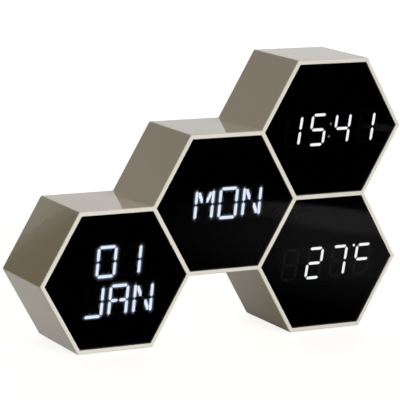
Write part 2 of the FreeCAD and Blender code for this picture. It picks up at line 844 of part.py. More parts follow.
def button_board_posts():
    """Two posts above the buttons, between the end ones and their neighbours, and two below the end ones."""
    first, last = 0, len(BUTTONS) - 1
    upper = [(button_x(number), POST_RISE) for number in (first + 0.5, last - 0.5)]
    lower = [(button_x(number), SWITCH_Z) for number in (first, last)]
    return upper + lower


LEVEL_MARK = rectangle("0", "0", "Sizes.mark_length", "Sizes.mark_width")
UPRIGHT_MARK = rectangle("0", "0", "Sizes.mark_width", "Sizes.mark_length")
BUTTON_MARKS = {"up": [LEVEL_MARK, UPRIGHT_MARK], "down": [LEVEL_MARK]}


def make_buttons():
    flange_back = f"{COVER_FRONT} - Sizes.button_play"
    tip = f"{KEY_SWITCH_BACK} - Sizes.key_switch_grip"
    crown = f"{COVER_BACK} + Sizes.button_proud"
    for number, name in enumerate(BUTTONS):
        stem = [disc("0", "0", "Sizes.button_stem_radius")]
        body = moulding(f"{name}_button",
                        ("Pad", tip, flange_back, stem),
                        ("Pad", f"{flange_back} - Sizes.button_flange_thick", flange_back,
                         [disc("0", "0", "Sizes.button_flange")]),
                        ("Pad", flange_back, crown, [disc("0", "0", "Sizes.button_radius")]),
                        x=button_x(number))
        soften(body, "Fillet", "Sizes.button_round", level_at(value(crown)))
        for mark in BUTTON_MARKS.get(name, []):
            extrude(body, "Pocket", f"{crown} - Sizes.mark_depth", crown, [mark])


def make_button_board():
    holes = [disc(*point, "Sizes.screw_shank + Sizes.screw_clearance") for point in button_board_posts()]
    moulding("button_board",
             ("Pad", BUTTON_BOARD_FRONT, BUTTON_BOARD_BACK,
              [rectangle("0", BUTTON_BOARD_Z, BUTTON_BOARD_WIDTH, BUTTON_BOARD_HEIGHT)]),
             ("Pocket", BUTTON_BOARD_FRONT, BUTTON_BOARD_BACK, holes))
    size = "Sizes.key_switch_size"
    keys = [rectangle(button_x(number), "0", size, size) for number in range(len(BUTTONS))]
    wells = [disc(button_x(number), "0", "Sizes.button_stem_radius + Sizes.button_clearance")
             for number in range(len(BUTTONS))]
    moulding("button_switches", ("Pad", BUTTON_BOARD_BACK, KEY_SWITCH_BACK, keys),
             ("Pocket", f"{KEY_SWITCH_BACK} - {KEY_SWITCH_WELL}", KEY_SWITCH_BACK, wells))


def make_alarm_switch():
    stem_room = "Sizes.knob_stem + 2 * Sizes.knob_clearance"
    moulding("alarm_switch_body",
             ("Pad", BUTTON_BOARD_BACK, SLIDE_SWITCH_BACK,
              [rectangle("0", SWITCH_Z, "Sizes.switch_length", "Sizes.switch_width")]),
             ("Pocket", f"{SLIDE_SWITCH_BACK} - Sizes.switch_well", SLIDE_SWITCH_BACK,
              [rectangle("0", SWITCH_Z, f"{stem_room} + Sizes.switch_travel", stem_room)]))
    flange_back = f"{COVER_FRONT} - Sizes.button_play"
    flange = rectangle("0", "0", "Sizes.knob_length + 2 * Sizes.switch_travel",
                       "Sizes.knob_width + 2 * Sizes.knob_flange_lip")
    ribs = [rectangle(f"{side} * Sizes.knob_rib_pitch", "0", "Sizes.recess_slot", "Sizes.knob_width")
            for side in (-1, 0, 1)]
    moulding("alarm_switch_knob",
             ("Pad", f"{SLIDE_SWITCH_BACK} - Sizes.key_switch_grip", flange_back,
              [rectangle("0", "0", "Sizes.knob_stem", "Sizes.knob_stem")]),
             ("Pad", f"{flange_back} - Sizes.knob_flange_thick", flange_back, [flange]),
             ("Pad", flange_back, f"{COVER_BACK} + Sizes.knob_proud",
              [rectangle("0", "0", "Sizes.knob_length", "Sizes.knob_width")]),
             ("Pocket", f"{COVER_BACK} + Sizes.knob_proud / 2", f"{COVER_BACK} + Sizes.knob_proud",
              ribs),
             x=KNOB_X, z=SWITCH_Z)


# Battery tray, door, cells and contacts, about the date cell's centre
DATE_X, DATE_Z = centre("date")
CELL_PITCH = "(2 * Sizes.battery_radius + Sizes.battery_gap)"
TRAY_LENGTH = "(Sizes.battery_length + Sizes.battery_tip + 2 * Sizes.contact_room)"
TRAY_HEIGHT = f"(3 * {CELL_PITCH})"
RECESS_LENGTH = f"({TRAY_LENGTH} + 2 * Sizes.door_seat)"
RECESS_HEIGHT = f"({TRAY_HEIGHT} + 2 * Sizes.door_seat)"
HINGE_X = f"({DATE_X} - {RECESS_LENGTH} / 2 + Sizes.hinge_gap + Sizes.door_thick / 2)"
HINGE_Y = f"({COVER_BACK} - Sizes.door_thick / 2)"
DOOR_RIGHT = f"({DATE_X} + {RECESS_LENGTH} / 2 - Sizes.door_clearance)"
DOOR_LOW = f"({DATE_Z} - {RECESS_HEIGHT} / 2 + Sizes.door_clearance)"
DOOR_HIGH = f"({DATE_Z} + {RECESS_HEIGHT} / 2 - Sizes.door_clearance)"


def make_door():
    width = f"({DOOR_RIGHT} - {HINGE_X})"
    height = f"({DOOR_HIGH} - {DOOR_LOW})"
    middle = f"{HINGE_X} + {width} / 2"
    pin = "Sizes.hinge_pin_length + Sizes.door_clearance"
    grips = []
    for number in range(round(value("Sizes.door_grips"))):
        x = f"{DOOR_RIGHT} - Sizes.grip_inset - {number} * Sizes.grip_pitch"
        grips.append(rectangle(x, DATE_Z, "Sizes.grip_width", "Sizes.grip_length"))
    panel = rectangle(middle, DATE_Z, width, height)
    body = moulding("battery_door", ("Pad", DOOR_FRONT, COVER_BACK, [panel]))
    outer, beyond = level_at(value(COVER_BACK)), value(HINGE_X) + TOLERANCE
    soften(body, "Chamfer", "Sizes.door_bevel", lambda edge: outer(edge) and edge.BoundBox.XMin > beyond)
    extrude(body, "Pad", DOOR_LOW, DOOR_HIGH, [disc(HINGE_X, HINGE_Y, "Sizes.door_thick / 2")], "Z")
    extrude(body, "Pad", f"{DOOR_LOW} - ({pin})", f"{DOOR_HIGH} + {pin}",
            [disc(HINGE_X, HINGE_Y, "Sizes.hinge_pin_radius")], "Z")
    extrude(body, "Pocket", f"{COVER_BACK} - Sizes.grip_depth", COVER_BACK, grips)
    foam = rectangle(DATE_X, DATE_Z, f"{TRAY_LENGTH} - 2 * Sizes.foam_inset",
                     f"{TRAY_HEIGHT} - Sizes.foam_inset")
    moulding("door_foam", ("Pad", FOAM_FRONT, DOOR_FRONT, [foam]))


def battery_rows():
    """The three battery axes from bottom to top, with the direction each tip points."""
    rows = []
    for number, tip in ((-1, 1), (0, -1), (1, 1)):
        rows.append((f"({DATE_Z} + {number} * {CELL_PITCH})", tip))
    return rows


def make_batteries():
    steps = []
    for z, tip in battery_rows():
        low = f"{DATE_X} - {tip} * Sizes.battery_tip / 2 - Sizes.battery_length / 2"
        high = f"{low} + Sizes.battery_length"
        steps.append(("Pad", low, high, [disc(BATTERY_AXIS, z, "Sizes.battery_radius")], "X"))
        nub = (high, f"{high} + Sizes.battery_tip") if tip > 0 else (f"{low} - Sizes.battery_tip", low)
        steps.append(("Pad", *nub, [disc(BATTERY_AXIS, z, "Sizes.battery_tip_radius")], "X"))
    moulding("battery_cells", *steps)


def make_contacts():
    """Bent leaf contacts, one at each end of each battery."""
    steps = []
    low = f"({BATTERY_AXIS} - Sizes.battery_radius / 2)"
    high = f"({BATTERY_AXIS} + Sizes.battery_radius / 2)"
    for z, _ in battery_rows():
        leaves = []
        for end in (-1, 1):
            wall = f"({DATE_X} + {end} * {TRAY_LENGTH} / 2)"
            inner = f"({wall} - {end} * Sizes.contact_thick)"
            reach = "((Sizes.battery_length + Sizes.battery_tip) / 2 + Sizes.contact_play)"
            nose = f"({DATE_X} + {end} * {reach})"
            hollow = f"{nose} + {end} * Sizes.contact_bend"
            leaves.append(polygon(
                (wall, low), (inner, low), (inner, f"{low} + Sizes.contact_foot"), (nose, BATTERY_AXIS),
                (inner, f"{high} - Sizes.contact_foot"), (inner, high), (wall, high),
                (wall, f"{high} - Sizes.contact_bend"), (hollow, BATTERY_AXIS),
                (wall, f"{low} + Sizes.contact_bend"),
            ))
        bottom = f"{z} - Sizes.contact_width / 2"
        steps.append(("Pad", bottom, f"{bottom} + Sizes.contact_width", leaves, "Z"))
    moulding("battery_contacts", *steps)


# Supply socket, sounder and sensor
SOCKET_X, TEMPERATURE_Z = centre("temperature")
SOCKET_Z = f"({TEMPERATURE_Z} - Sizes.socket_drop)"
POWER_BOARD_TOP = f"({SOCKET_Z} - Sizes.socket_height / 2)"
POWER_BOARD_FRONT = f"({COVER_FRONT} - Sizes.power_board_length)"
SOUND_X, SOUND_Z = centre("time")
SENSOR_Z = f"({TEMPERATURE_Z} + Sizes.sensor_rise)"
BUZZER_FRONT = f"({COVER_FRONT} - Sizes.buzzer_height)"
SENSOR_FRONT = f"({COVER_FRONT} - Sizes.sensor_length)"


def make_power():
    moulding("power_socket_shell",
             ("Pad", f"{COVER_BACK} - Sizes.socket_depth", COVER_BACK,
              [rectangle(SOCKET_X, SOCKET_Z, "Sizes.socket_width", "Sizes.socket_height")]),
             ("Pocket", f"{COVER_BACK} - Sizes.socket_depth + Sizes.socket_wall", COVER_BACK,
              [rectangle(SOCKET_X, SOCKET_Z, "Sizes.socket_width - 2 * Sizes.socket_wall",
                         "Sizes.socket_height - 2 * Sizes.socket_wall")]))
    root = f"{COVER_BACK} - Sizes.socket_depth + Sizes.socket_wall"
    moulding("power_socket_tongue",
             ("Pad", root, f"{root} + Sizes.tongue_length",
              [rectangle(SOCKET_X, SOCKET_Z, "Sizes.tongue_width", "Sizes.tongue_height")]))
    board_z = f"{POWER_BOARD_TOP} - Sizes.power_board_thick / 2"
    moulding("power_board",
             ("Pad", POWER_BOARD_FRONT, COVER_FRONT,
              [rectangle(SOCKET_X, board_z, "Sizes.power_board_width", "Sizes.power_board_thick")]))


def make_buzzer():
    moulding("buzzer",
             ("Pad", BUZZER_FRONT, COVER_FRONT, [disc(SOUND_X, SOUND_Z, "Sizes.buzzer_radius")]))
    moulding("temperature_sensor",
             ("Pad", SENSOR_FRONT, COVER_FRONT, [disc(SOCKET_X, SENSOR_Z, "Sizes.sensor_radius")]))


# How a lead bows: the share of its run, and the share of its bow there
LEAD_BOW = ((0.0, 0.0), (0.2, 0.0), (0.5, 1.0), (0.8, 0.0), (1.0, 0.0))


def make_leads():
    """Pairs of wires from the tray, the socket board, the sounder and the sensor to the boards."""
    boards = value(BOARD_BACK)
    half = value("Sizes.lead_spacing") / 2
    side = value("Sizes.lead_bend")
    runs = [
        (DATE_X, DATE_Z, TRAY_FRONT),
        (SOCKET_X, f"{POWER_BOARD_TOP} - Sizes.power_board_thick / 2", POWER_BOARD_FRONT),
        (SOUND_X, SOUND_Z, BUZZER_FRONT),
        (SOCKET_X, SENSOR_Z, SENSOR_FRONT),
    ]
    shapes = {"red_leads": [], "black_leads": []}
    for run in runs:
        x, z, back = (value(text) for text in run)
        for label, shift in (("red_leads", -half), ("black_leads", half)):
            points = []
            for share, bow in LEAD_BOW:
                points.append(Vector(x + shift, boards + share * (back - boards), z + bow * side))
            circle = Part.Circle(points[0], Vector(0, 1, 0), value("Sizes.lead_radius"))
            shapes[label].append(swept(points, 2 * side, Part.Wire(circle.toShape())))
    for label, solids in shapes.items():
        feature(label, Part.makeCompound(solids))


# Back cover
def slots(x, z, size):
    """A stack of slots about a point, as many as a size on the sheet says."""
    shapes = []
    count = round(value(f"Sizes.{size}"))
    for number in range(count):
        level = f"{z} + {number - (count - 1) / 2} * Sizes.slot_pitch"
        shapes.append(rectangle(x, level, "Sizes.slot_length", "Sizes.slot_width"))
    return shapes


def rail(side):
    """A grooved rail that grips one edge of the supply board."""
    board_z = f"({POWER_BOARD_TOP} - Sizes.power_board_thick / 2)"
    groove = "(Sizes.power_board_thick / 2)"
    edge = f"({SOCKET_X} + {side} * Sizes.power_board_width / 2)"
    into = f"{edge} - {side} * Sizes.rail_grip"
    out = f"{edge} + {side} * Sizes.holder_wall"
    lip = f"({groove} + Sizes.holder_wall)"
    return polygon(
        (into, f"{board_z} - {lip}"), (out, f"{board_z} - {lip}"),
        (out, f"{board_z} + {lip}"), (into, f"{board_z} + {lip}"),
        (into, f"{board_z} + {groove}"), (edge, f"{board_z} + {groove}"),
        (edge, f"{board_z} - {groove}"), (into, f"{board_z} - {groove}"),
    )


def make_cover():
    bosses = [point for cell in CELLS for point in boss_points(cell)]
    posts = button_board_posts()
    wide = f"{RECESS_LENGTH} + 2 * (Sizes.tray_wall - Sizes.door_seat)"
    high = f"{RECESS_HEIGHT} + 2 * (Sizes.tray_wall - Sizes.door_seat)"
    holder = "Sizes.buzzer_radius + Sizes.holder_clearance"
    clip = "Sizes.sensor_radius + Sizes.holder_clearance"
    finger = disc(f"{DATE_X} + {RECESS_LENGTH} / 2", DATE_Z, "Sizes.finger_radius")
    panel = rectangle("0", BUTTON_BOARD_Z, f"{BUTTON_BOARD_WIDTH} + Sizes.panel_margin",
                      f"{BUTTON_BOARD_HEIGHT} + Sizes.panel_margin")
    body = moulding("back_cover",
                    ("Pad", COVER_FRONT, COVER_BACK, [outline("Sizes.wall / 2 + Sizes.cover_clearance")]))
    soften(body, "Chamfer", "Sizes.cover_bevel", level_at(value(COVER_BACK)))
    pockets = [disc(*point, "Sizes.cover_screw_shank + Sizes.screw_clearance") for point in bosses]
    for number in range(len(BUTTONS)):
        pockets.append(disc(button_x(number), "0", "Sizes.button_radius + Sizes.button_clearance"))
    knob_room = "Sizes.knob_length + Sizes.switch_travel + 2 * Sizes.knob_clearance"
    pockets.append(rectangle("0", SWITCH_Z, knob_room, "Sizes.knob_width + 2 * Sizes.knob_clearance"))
    pockets.append(rectangle(SOCKET_X, SOCKET_Z, "Sizes.socket_width + 2 * Sizes.socket_clearance",
                             "Sizes.socket_height + 2 * Sizes.socket_clearance"))
    pockets += slots(SOUND_X, SOUND_Z, "sound_slots") + slots(SOCKET_X, SENSOR_Z, "vent_slots")
    pin_reach = "(2 * Sizes.door_clearance + Sizes.hinge_pin_length)"
    steps = [
        ("Pad", TRAY_FRONT, COVER_FRONT, [rectangle(DATE_X, DATE_Z, wide, high)]),
        ("Pocket", TRAY_FLOOR, COVER_BACK, [rectangle(DATE_X, DATE_Z, TRAY_LENGTH, TRAY_HEIGHT)]),
        ("Pocket", DOOR_FRONT, COVER_BACK, [rectangle(DATE_X, DATE_Z, RECESS_LENGTH, RECESS_HEIGHT)]),
        ("Pocket", f"{COVER_BACK} - Sizes.finger_depth", COVER_BACK, [finger]),
        ("Pocket", f"{COVER_BACK} - Sizes.panel_depth", COVER_BACK, [panel]),
        ("Pocket", f"{DOOR_LOW} - {pin_reach}", f"{DOOR_HIGH} + {pin_reach}",
         [disc(HINGE_X, HINGE_Y, "Sizes.hinge_pin_radius + Sizes.hinge_clearance")], "Z"),
        ("Pad", BUTTON_BOARD_BACK, COVER_FRONT, [disc(*point, "Sizes.post_radius") for point in posts]),
        ("Pad", BUZZER_FRONT, COVER_FRONT,
         [disc(SOUND_X, SOUND_Z, f"{holder} + Sizes.holder_wall"), disc(SOUND_X, SOUND_Z, holder)]),
        ("Pad", SENSOR_FRONT, COVER_FRONT,
         [disc(SOCKET_X, SENSOR_Z, f"{clip} + Sizes.holder_wall"), disc(SOCKET_X, SENSOR_Z, clip)]),
        ("Pad", POWER_BOARD_FRONT, COVER_FRONT, [rail(-1), rail(1)]),
        ("Pocket", COVER_FRONT, COVER_BACK, pockets),
        ("Pocket", COUNTERBORE, COVER_BACK, [disc(*point, "Sizes.counterbore_radius") for point in bosses]),
        ("Pocket", BUTTON_BOARD_BACK, f"{BUTTON_BOARD_BACK} + Sizes.pilot_depth",
         [disc(*point, "Sizes.pilot_radius") for point in posts]),
    ]
    for step in steps:
        extrude(body, *step)
    return bosses


def make_screws(board_points, bosses):
    head = "Sizes.screw_head"
    back = f"{BOARD_BACK} + Sizes.screw_head_height"
    shank_front = f"{BOARD_BACK} - Sizes.screw_length"
    posts = button_board_posts()
    moulding("board_screws",
             ("Pad", BOARD_BACK, back, [disc(*point, head) for point in board_points]),
             ("Pad", shank_front, BOARD_BACK, [disc(*point, "Sizes.screw_shank") for point in board_points]),
             ("Pad", f"{BUTTON_BOARD_FRONT} - Sizes.screw_head_height", BUTTON_BOARD_FRONT,
              [disc(*point, head) for point in posts]),
             ("Pad", BUTTON_BOARD_FRONT, f"{BUTTON_BOARD_FRONT} + Sizes.screw_length",
              [disc(*point, "Sizes.screw_shank") for point in posts]))
    top = f"{COUNTERBORE} + Sizes.cover_screw_head_height"
    cross = []
    long, thin = "Sizes.recess_length", "Sizes.recess_slot"
    for x, z in bosses:
        cross.append((rectangle(x, z, long, thin), rectangle(x, z, thin, long)))
    moulding("cover_screws",
             ("Pad", COUNTERBORE, top, [disc(*point, "Sizes.cover_screw_head") for point in bosses]),
             ("Pad", f"{COUNTERBORE} - Sizes.cover_screw_length", COUNTERBORE,
              [disc(*point, "Sizes.cover_screw_shank") for point in bosses]),
             ("Pocket", f"{top} - Sizes.recess_depth", top, [pair[0] for pair in cross]),
             ("Pocket", f"{top} - Sizes.recess_depth", top, [pair[1] for pair in cross]))


def make_button_ribbon():
    """The flat cable from the main board to the button board."""
    width, thick = value("Sizes.ribbon_width"), value("Sizes.ribbon_thick")
    low, high = value(PLUG_BACK), value(BUTTON_BOARD_FRONT)
    z_low, z_high = value("Sizes.plug_reach"), value(f"{SWITCH_Z} / 2")
    bend = value("Sizes.ribbon_bend")
    points = [
        Vector(0, low, z_low), Vector(0, (low + high) / 2, z_low),
        Vector(0, (low + high) / 2, z_high), Vector(0, high, z_high),
    ]
    loop = []
    for x, z in ((-1, -1), (1, -1), (1, 1), (-1, 1), (-1, -1)):
        loop.append(points[0] + Vector(x * width / 2, 0, z * thick / 2))
    feature("button_ribbon", swept(points, bend, Part.makePolygon(loop)))


make_housing()
make_feet()
make_lenses()
make_displays()
screw_points = make_boards()
make_components()
make_ribbons()
make_buttons()
make_button_board()
make_alarm_switch()
make_door()
make_batteries()
make_contacts()
make_power()
make_buzzer()
make_leads()
boss_list = make_cover()
make_screws(screw_points, boss_list)
make_button_ribbon()

doc.recompute()
for item in doc.Objects:
    if "Invalid" in item.State or "Error" in item.State:
        raise RuntimeError(f"{item.Label} failed: {item.State}")
    if item.TypeId == "PartDesign::Pocket":
        if item.Shape.Volume > item.BaseFeature.Shape.Volume - TOLERANCE:
            raise RuntimeError(f"{item.Label} cuts nothing")
for label, item in subparts.items():
    if item.Shape.isNull() or not item.Shape.isValid():
        raise RuntimeError(f"{label} has no valid shape")

os.makedirs("parts", exist_ok=True)
for label, item in subparts.items():
    item.Shape.exportStep(f"parts/{label}.step")
print(len(subparts), "pieces written")
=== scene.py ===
import json
import math

import bmesh
import bpy
from mathutils import Matrix, Vector
from mathutils.bvhtree import BVHTree


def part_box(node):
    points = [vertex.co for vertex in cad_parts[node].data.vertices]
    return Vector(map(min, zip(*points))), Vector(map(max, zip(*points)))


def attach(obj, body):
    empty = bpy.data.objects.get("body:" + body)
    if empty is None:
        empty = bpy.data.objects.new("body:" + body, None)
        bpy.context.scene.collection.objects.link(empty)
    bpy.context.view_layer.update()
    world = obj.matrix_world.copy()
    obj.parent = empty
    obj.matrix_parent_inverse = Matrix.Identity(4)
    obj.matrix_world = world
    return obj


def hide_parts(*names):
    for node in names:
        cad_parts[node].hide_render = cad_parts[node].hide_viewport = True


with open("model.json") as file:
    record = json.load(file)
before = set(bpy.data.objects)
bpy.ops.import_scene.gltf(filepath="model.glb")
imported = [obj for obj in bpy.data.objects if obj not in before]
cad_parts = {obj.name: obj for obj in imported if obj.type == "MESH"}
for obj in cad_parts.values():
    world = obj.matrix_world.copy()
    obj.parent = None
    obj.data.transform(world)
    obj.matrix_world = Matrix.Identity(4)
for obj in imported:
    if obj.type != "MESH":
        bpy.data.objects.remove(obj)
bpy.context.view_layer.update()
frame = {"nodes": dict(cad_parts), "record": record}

# Lengths are in metres. Colours of three whole numbers are display colours from 0 to 255.
CELL_SIDE = 0.0455
HOUSING_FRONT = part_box("housing")[0][1]
DAY_LOW, DAY_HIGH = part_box("day_lens")
DAY_CENTRE = Vector((0.0, HOUSING_FRONT, (DAY_LOW[2] + DAY_HIGH[2]) / 2))
LETTER_CELLS = ("date", "day")
WHITE = (1.0, 1.0, 1.0, 1.0)

# Camera, as fitted to the photograph. Angles are in degrees. The distance and the target's place,
# counted from the day cell's centre, are in cell sides.
CAMERA_AZIMUTH = -27.89
CAMERA_ELEVATION = 10.87
CAMERA_ROLL = 1.38
CAMERA_DISTANCE = 29.22
CAMERA_TARGET = (-0.369, 0.0, 0.068)
CAMERA_CLIP = 0.05, 50.0
FOCAL_PIXELS = 2349.1
FRAME_PIXELS = 400
SENSOR_MM = 36.0

# Lamps: name, place, aim, size, spread in degrees, power in watts and tint. The key is gridded and
# aimed past the clock's left, so that it falls off towards the right.
LAMPS = (
    ("key", (0.65, -2.38, 0.42), (-0.35, 0.0, 0.08), 0.6, 54.0, 5.75, (0.95, 0.97, 1.0)),
    ("back", (0.2, 2.40, 0.45), (0.0, 0.0, 0.08), 0.6, 180.0, 18.0, (1.0, 0.8, 0.57)),
    ("rear", (0.0, 2.40, 0.08), (0.0, 0.0, 0.08), 0.15, 180.0, 26.0, (0.9, 0.96, 1.0)),
)

# Light from all round, and the floor, which glows towards the camera so that it shows as white
WORLD_TINT = (1.0, 0.87, 0.62, 1.0)
WORLD_STRENGTH = 0.21
FLOOR_SIZE = 12.0
FLOOR_COLOUR = (176, 171, 158)
FLOOR_ROUGHNESS = 0.6
FLOOR_GLOW = 0.85

# What gloss sees behind the clock: a backdrop that is white low down, dimmer above, and dark
# beyond its left edge up to a height. Heights are the z of a direction, and the edge its x over y.
BACKDROP_RISE = 0.20, 0.30
BACKDROP_LOW, BACKDROP_HIGH = 0.92, 0.62
BACKDROP_EDGE = -0.420, -0.412
BACKDROP_EDGE_TOP = 0.262, 0.278

# What gloss sees of the floor under and behind the clock, as a painted glow: how bright it is at the
# left and at the right, at the nearer and at the farther depth. The dimmer nearer depth is painted
# shadow of the clock, deepest at the right. Ahead of the clock it turns dark.
FLOOR_SIDES = -0.09, -0.03
FLOOR_DEPTH = -0.01, 0.06
FLOOR_LEFT = 0.68, 0.8
FLOOR_RIGHT = 0.1, 0.5
FLOOR_TURN = 0.02
FLOOR_TINT = (1.0, 0.965, 0.94, 1.0)

# Painted reflections on the dark floor, which glow for gloss only and show in the lenses as sheen:
# a patch that fades away from its core, a bright spot and a small glint. They are round when y is
# squeezed, and each blur is a share of the radius.
SQUEEZE = 0.7
PATCH_PLACE = (0.135, -0.141, 0.0)
PATCH_RADIUS = 0.2
PATCH_BLUR = 0.02
PATCH_CORE = (0.25, -0.20, 0.0)
PATCH_STRENGTH = 0.75
PATCH_FADE = 0.07, 0.172
SPOT_PLACE = (0.265, -0.33, 0.0)
SPOT_RADIUS = 0.055
SPOT_BLUR = 0.2
SPOT_STRENGTH = 1.1
GLINT_PLACE = (0.506, -0.66, 0.0)
GLINT_RADIUS = 0.013
GLINT_BLUR = 0.5
GLINT_STRENGTH = 1.15

# Casing and back cover: a lighter and a darker shade, and the least and the most roughness
LACQUER_SHADES = (226, 221, 212), (222, 217, 207)
LACQUER_ROUGHNESS = 0.38, 0.48
COAT_ROUGHNESS = 0.04
COVER_SHADES = (206, 198, 184), (188, 180, 166)
COVER_ROUGHNESS = 0.5, 0.7

# Lenses: how opaque each face is, how strongly it mirrors, and the roughness of its wiping marks
LENS_COLOUR = (1, 1, 1)
LENS_ALPHA = 0.55
LENS_GLOSS = 0.15
LENS_ROUGHNESS = 0.02, 0.06

# Segments: their colour, how the lit ones glow behind the lens, how far that glow dims in places,
# and where in x and in z the unlit ones get a faint painted glow, which stands in for light they
# catch
SEGMENT_COLOUR = (170, 172, 176)
NUMERAL_GLOW, NUMERAL_STRENGTH = (250, 252, 255), 4.8
LETTER_GLOW, LETTER_STRENGTH = (226, 237, 255), 5.2
COLON_GLOW, COLON_STRENGTH = (214, 206, 198), 0.9
GLOW_DIMMED = 0.9
UNLIT_PAINTED_GLOW = 0.015
UNLIT_SIDES = 0.0, 0.04
UNLIT_RISE = 0.06, 0.08

# Bleed round lit letters: how it glows, its reach, the margin where it fades out, the mesh that
# carries it, and how far that mesh's front lies behind the block's
HALO_GLOW, HALO_STRENGTH = (214, 230, 255), 1.6
HALO_ROUGHNESS = 0.6
HALO_REACH = 0.0004
HALO_FADE = 0.001
HALO_GRID = 0.0004
HALO_SINK = 0.00005

# Batteries: radius, how far from the middle the sleeve ends and its band begins, and the surfaces
BATTERY_RADIUS = 0.00525
BATTERY_SLEEVE = 0.0212
BATTERY_BAND = 0.012
BATTERY_SHADES = (52, 55, 62), (44, 47, 54)
BATTERY_BAND_COLOUR = (176, 112, 62)
BATTERY_BAND_METALLIC = 0.6
BATTERY_TIP_COLOUR = (190, 190, 190)
BATTERY_ROUGHNESS = 0.28, 0.4

# Plain mouldings by slot: material, lighter and darker shade, roughness, grain scale, bump, gloss
DISPLAY_BLACK = (3, 3, 4)
PLASTICS = {
    "segment_dark": ("unlit_segment", (38, 38, 40), (33, 33, 35), 0.4, 800.0, 0.1, 0.1),
    "display_black": ("display_black", DISPLAY_BLACK, (2, 2, 3), 0.6, 900.0, 0.1, 0.0),
    "mask": ("black_mask", DISPLAY_BLACK, (2, 2, 3), 0.8, 1500.0, 0.2, 0.0),
    "button": ("button_plastic", (132, 125, 113), (124, 117, 105), 0.42, 1800.0, 0.2, 0.5),
    "foot_rubber": ("foot_rubber", (38, 38, 38), (30, 30, 30), 0.8, 2200.0, 0.4, 0.5),
    "board": ("solder_mask", (30, 31, 33), (24, 25, 27), 0.35, 700.0, 0.2, 0.5),
    "chip": ("emitter", (230, 220, 160), (220, 210, 150), 0.3, 900.0, 0.1, 0.5),
    "chip_black": ("moulded_black", (34, 34, 36), (26, 26, 28), 0.5, 1400.0, 0.3, 0.5),
    "connector": ("ivory_connector", (226, 220, 202), (216, 210, 192), 0.5, 900.0, 0.2, 0.5),
    "foam": ("foam", (44, 44, 46), (30, 30, 32), 0.95, 1500.0, 1.0, 0.5),
    "ribbon": ("flat_cable", (170, 170, 176), (150, 150, 156), 0.5, 900.0, 0.2, 0.5),
    "lead_red": ("red_insulation", (170, 30, 26), (150, 24, 20), 0.45, 900.0, 0.1, 0.5),
    "lead_black": ("black_insulation", (26, 26, 26), (18, 18, 18), 0.45, 900.0, 0.1, 0.5),
}

# Metals by slot: material, colour and roughness
METALS = {
    "tin": ("tin_plate", (190, 190, 192), 0.25),
    "contact": ("nickel_strip", (200, 196, 186), 0.25),
    "screw": ("plated_screw", (120, 120, 122), 0.3),
}

# The least and the most share of its roughness that a surface has in places
PLASTIC_UNEVEN = 0.85, 1.15
METAL_UNEVEN = 0.7, 1.3


def srgb(red, green, blue):
    """A display colour from 0 to 255 as the linear colour that a shader takes."""
    channels = []
    for channel in (red, green, blue):
        share = channel / 255
        channels.append(share / 12.92 if share <= 0.04045 else ((share + 0.055) / 1.055) ** 2.4)
    return (*channels, 1.0)


class Nodes:
    """A short way to add linked nodes to one tree."""

    def __init__(self, tree):
        self.tree = tree

    def node(self, kind, **values):
        """A node whose sockets, or else its own settings, have the values given by name."""
        node = self.tree.nodes.new(kind)
        for name, value in values.items():
            if name in node.inputs:
                node.inputs[name].default_value = value
            else:
                setattr(node, name, value)
        return node

    def link(self, start, end):
        self.tree.links.new(start, end)

    def place(self):
        """A point's place in metres, as every object's own origin is the frame's."""
        return self.node("ShaderNodeTexCoord").outputs["Object"]

    def split(self, vector):
        """The three components of a vector."""
        node = self.node("ShaderNodeSeparateXYZ")
        self.link(vector, node.inputs["Vector"])
        return node.outputs

    def spread(self, value, low, high, start=0.0, end=1.0):
        """Maps a value from the range start to end onto low to high, and holds it there outside."""
        node = self.node("ShaderNodeMapRange")
        node.inputs["From Min"].default_value = start
        node.inputs["From Max"].default_value = end
        node.inputs["To Min"].default_value = low
        node.inputs["To Max"].default_value = high
        self.link(value, node.inputs["Value"])
        return node.outputs["Result"]

    def math(self, operation, first, second):
        """One operation on a linked value and a second one, which may be linked or a number."""
        node = self.node("ShaderNodeMath", operation=operation)
        self.link(first, node.inputs[0])
        if isinstance(second, float):
            node.inputs[1].default_value = second
        else:
            self.link(second, node.inputs[1])
        return node.outputs[0]

    def choose(self, factor, first, second, output):
        """Shows the first shader where the factor is 0 and the second where it is 1."""
        choice = self.node("ShaderNodeMixShader")
        self.link(factor, choice.inputs[0])
        self.link(first.outputs[0], choice.inputs[1])
        self.link(second.outputs[0], choice.inputs[2])
        self.link(choice.outputs[0], self.tree.nodes[output].inputs["Surface"])

    def distance(self, place, centre):
        """How far a place on the floor is from a centre, with y squeezed."""
        squeezed = self.node("ShaderNodeVectorMath", operation="MULTIPLY")
        self.link(place, squeezed.inputs[0])
        squeezed.inputs[1].default_value = (1.0, SQUEEZE, 1.0)
        away = self.node("ShaderNodeVectorMath", operation="DISTANCE")
        self.link(squeezed.outputs["Vector"], away.inputs[0])
        away.inputs[1].default_value = (centre[0], centre[1] * SQUEEZE, centre[2])
        return away.outputs["Value"]

    def disc(self, place, centre, radius, blur, strength=1.0):
        """A strength inside a round patch and nothing outside it."""
        away = self.distance(place, centre)
        return self.spread(away, strength, 0.0, radius * (1 - blur), radius * (1 + blur))


